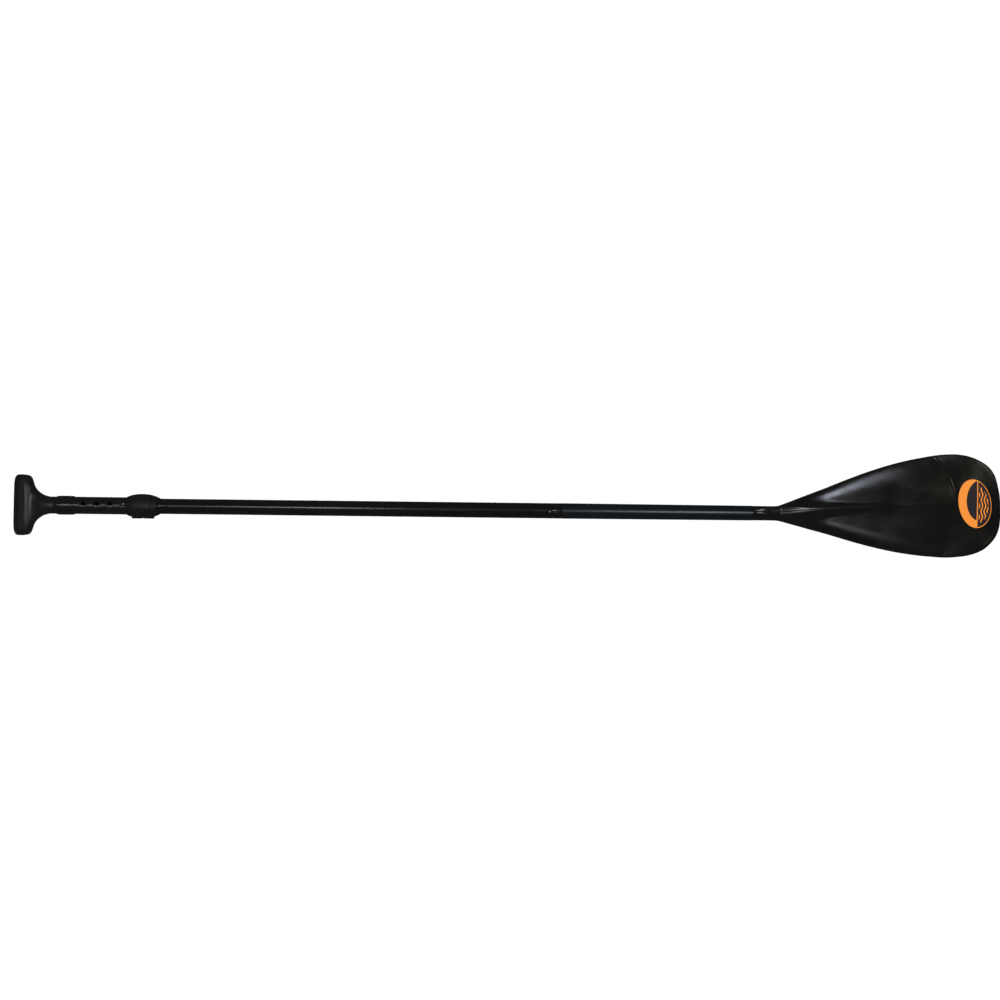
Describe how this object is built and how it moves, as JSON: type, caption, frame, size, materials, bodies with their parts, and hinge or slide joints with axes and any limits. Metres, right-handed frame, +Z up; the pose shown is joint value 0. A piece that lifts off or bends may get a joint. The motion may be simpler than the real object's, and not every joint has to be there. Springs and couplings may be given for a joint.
{
  "type": "single blade paddle",
  "caption": "Adjustable paddle for a stand-up board: palm grip, holed handle tube with lever clamp, sliding shaft, snap-in lower shaft and raked spoon blade.",
  "frame": {"origin": "middle of the bounding box in X and Y, at the height of the clamp's foot, which is the lowest point", "axes": "+X along the shaft from the palm grip to the blade; +Y across the blade; +Z up, the way the blade's tip leans"},
  "size_m": [1.7964, 0.1918, 0.1293],
  "materials": {
    "grip_plastic": "satin",
    "grip_cap_plastic": "satin",
    "ferrule": "gloss",
    "handle_tube": "satin",
    "clamp_plastic": "matte",
    "lever_plastic": "matte",
    "steel": "satin",
    "button_steel": "satin",
    "spring_steel": "satin",
    "middle_shaft": "gloss",
    "lower_shaft": "gloss",
    "inner_plastic": "matte",
    "foam": "matte",
    "blade_nylon": "satin",
    "label": "satin"
  },
  "bodies": {
    "middle": {"middle_shaft": "middle_shaft", "shaft_top_plug": "inner_plastic", "middle_float": "foam", "length_button_spring": "spring_steel"},
    "handle": {"palm_grip": "grip_plastic", "grip_end_cap_left": "grip_cap_plastic", "grip_end_cap_right": "grip_cap_plastic", "grip_ferrule": "ferrule", "handle_tube": "handle_tube", "clamp_body": "clamp_plastic", "clamp_bolt": "steel", "clamp_washer": "steel", "clamp_trunnion": "steel"},
    "lever": {"clamp_lever": "lever_plastic"},
    "length_button": {"length_button": "button_steel"},
    "lower": {"joint_spigot": "inner_plastic", "lower_shaft": "lower_shaft", "joint_button_spring": "spring_steel", "lower_float": "foam", "blade": "blade_nylon", "blade_emblem": "label"},
    "joint_button": {"joint_button": "button_steel"}
  },
  "joints": [
    {"name": "handle_slide", "type": "slide", "parent": "middle", "child": "handle", "axis": [1, 0, 0], "range_m": [0, 0.075], "deforming": ["length_button", "length_button_spring"]},
    {"name": "clamp_lever_swing", "type": "hinge", "parent": "handle", "child": "lever", "pos_m": [-0.6595, -0.01726, 0.01444], "axis": [1, 0, 0], "range_deg": [0, 110]},
    {"name": "length_button_press", "type": "slide", "parent": "middle", "child": "length_button", "axis": [0, 0, -1], "range_m": [0, 0.0038], "stiffness_N_per_m": 1500, "springref_m": -0.002, "deforming": ["length_button_spring"]},
    {"name": "lower_section_slide", "type": "slide", "parent": "middle", "child": "lower", "axis": [1, 0, 0], "range_m": [0, 0.1], "deforming": ["joint_button", "joint_button_spring"]},
    {"name": "joint_button_press", "type": "slide", "parent": "lower", "child": "joint_button", "axis": [0, 0.3907, -0.9205], "range_m": [0, 0.0038], "stiffness_N_per_m": 1500, "springref_m": -0.002, "deforming": ["joint_button_spring"]}
  ]
}
